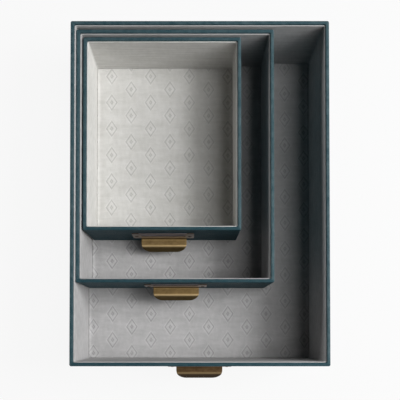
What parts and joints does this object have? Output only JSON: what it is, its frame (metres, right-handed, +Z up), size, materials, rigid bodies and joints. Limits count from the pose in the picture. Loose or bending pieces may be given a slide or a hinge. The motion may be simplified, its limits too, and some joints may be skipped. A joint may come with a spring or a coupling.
{
  "type": "nesting tray set",
  "caption": "Open leather-covered trays standing one inside another, lined in suede, each with a brass label holder and finger pull on its front.",
  "frame": {"origin": "middle of the large tray's underside, not counting its pull", "axes": "+Z up; +Y towards the back, away from the pulls; +X to the right seen from the front"},
  "size_m": [0.2974, 0.4146, 0.1016],
  "materials": {
    "cover_leather": "satin",
    "lining_suede": "matte",
    "base_suede": "matte",
    "board": "matte",
    "aged_brass": "aged",
    "card_paper": "matte"
  },
  "bodies": {
    "large_tray": {"large_bottom_board": "board", "large_front_board": "board", "large_back_board": "board", "large_left_board": "board", "large_right_board": "board", "large_front_lining": "lining_suede", "large_back_lining": "lining_suede", "large_left_lining": "lining_suede", "large_right_lining": "lining_suede", "large_base_sheet": "base_suede", "large_floor_card": "board", "large_floor_pad": "lining_suede", "large_leather_cover": "cover_leather", "large_label_pull": "aged_brass", "large_pull_screws": "aged_brass"},
    "large_card": {"large_label_card": "card_paper"},
    "medium_tray": {"medium_bottom_board": "board", "medium_front_board": "board", "medium_back_board": "board", "medium_left_board": "board", "medium_right_board": "board", "medium_front_lining": "lining_suede", "medium_back_lining": "lining_suede", "medium_left_lining": "lining_suede", "medium_right_lining": "lining_suede", "medium_base_sheet": "base_suede", "medium_floor_card": "board", "medium_floor_pad": "lining_suede", "medium_leather_cover": "cover_leather", "medium_label_pull": "aged_brass", "medium_pull_screws": "aged_brass"},
    "medium_card": {"medium_label_card": "card_paper"},
    "small_tray": {"small_bottom_board": "board", "small_front_board": "board", "small_back_board": "board", "small_left_board": "board", "small_right_board": "board", "small_front_lining": "lining_suede", "small_back_lining": "lining_suede", "small_left_lining": "lining_suede", "small_right_lining": "lining_suede", "small_base_sheet": "base_suede", "small_floor_card": "board", "small_floor_pad": "lining_suede", "small_leather_cover": "cover_leather", "small_label_pull": "aged_brass", "small_pull_screws": "aged_brass"},
    "small_card": {"small_label_card": "card_paper"}
  },
  "joints": [
    {"name": "medium_tray_lift", "type": "slide", "parent": "large_tray", "child": "medium_tray", "axis": [0, 0, 1], "range_m": [0, 0.1]},
    {"name": "small_tray_lift", "type": "slide", "parent": "medium_tray", "child": "small_tray", "axis": [0, 0, 1], "range_m": [0, 0.085]},
    {"name": "large_card_slide", "type": "slide", "parent": "large_tray", "child": "large_card", "axis": [0, 0, 1], "range_m": [0, 0.03]},
    {"name": "medium_card_slide", "type": "slide", "parent": "medium_tray", "child": "medium_card", "axis": [0, 0, 1], "range_m": [0, 0.03]},
    {"name": "small_card_slide", "type": "slide", "parent": "small_tray", "child": "small_card", "axis": [0, 0, 1], "range_m": [0, 0.03]}
  ]
}
